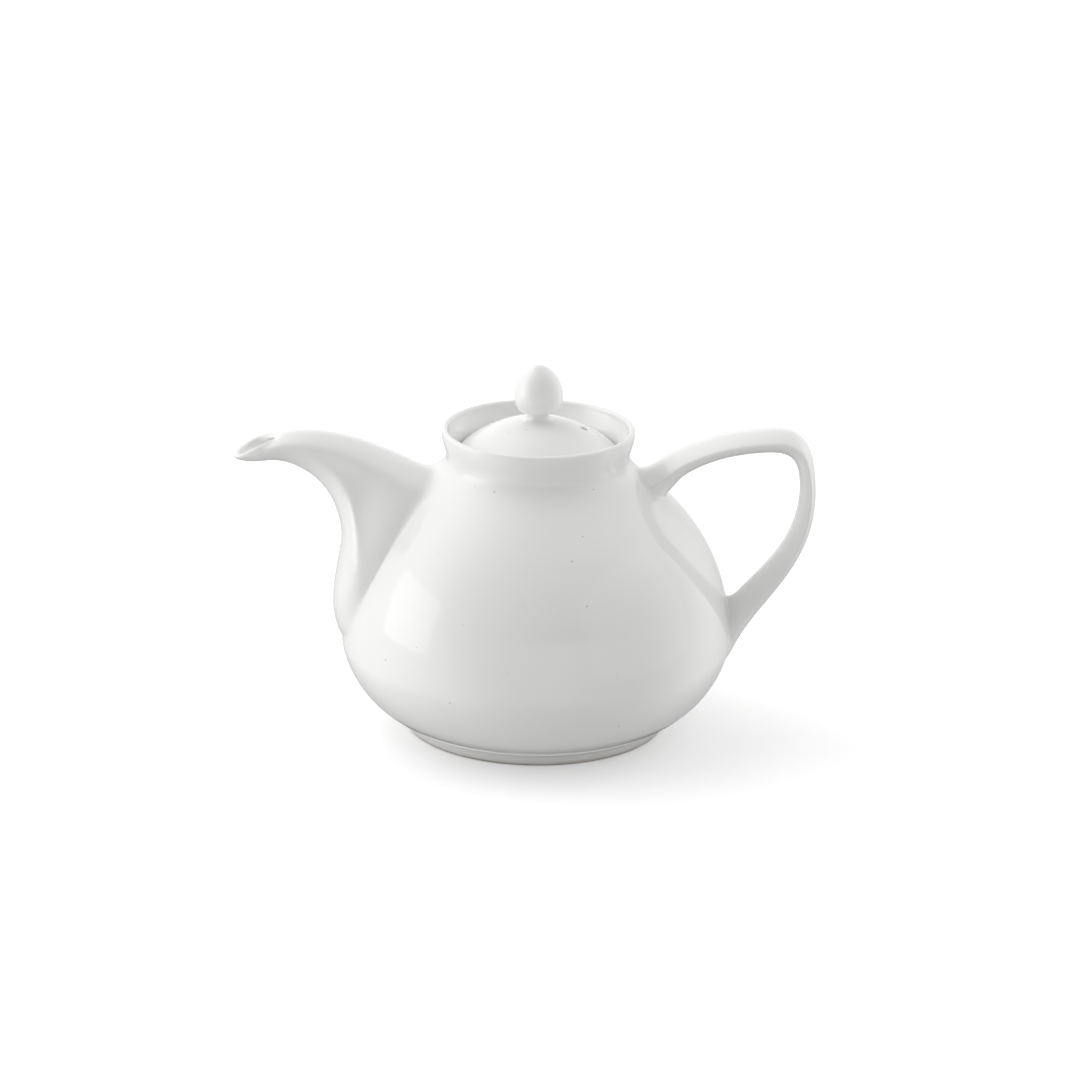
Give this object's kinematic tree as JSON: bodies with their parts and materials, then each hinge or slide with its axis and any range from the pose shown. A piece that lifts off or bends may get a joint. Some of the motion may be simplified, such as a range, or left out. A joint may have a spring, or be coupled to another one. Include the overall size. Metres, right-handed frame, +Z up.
{
  "type": "teapot",
  "caption": "White glazed porcelain teapot with a pear-shaped body, raised spout, looped handle and a domed lid with a bud-shaped knob.",
  "frame": {"origin": "centre of the foot ring's resting plane, on the pot's axis", "axes": "+Z up along the pot's axis, +X towards the handle with the spout along -X, +Y across the pot; the XZ plane is its plane of symmetry"},
  "size_m": [0.2262, 0.1516, 0.1461],
  "materials": {
    "pot_glaze": "clear gloss glaze over white porcelain",
    "foot_bisque": "unglazed, ground smooth",
    "spout_glaze": "clear gloss glaze over white porcelain",
    "handle_glaze": "clear gloss glaze over white porcelain",
    "lid_glaze": "clear gloss glaze over white porcelain",
    "knob_glaze": "clear gloss glaze over white porcelain"
  },
  "bodies": {
    "pot": {"pot_body": "pot_glaze", "foot_ring": "foot_bisque", "spout": "spout_glaze", "handle": "handle_glaze"},
    "lid": {"lid": "lid_glaze", "lid_knob": "knob_glaze"}
  },
  "joints": [
    {"name": "lid_lift", "type": "slide", "parent": "pot", "child": "lid", "axis": [0, 0, 1], "range_m": [0, 0.06]}
  ]
}
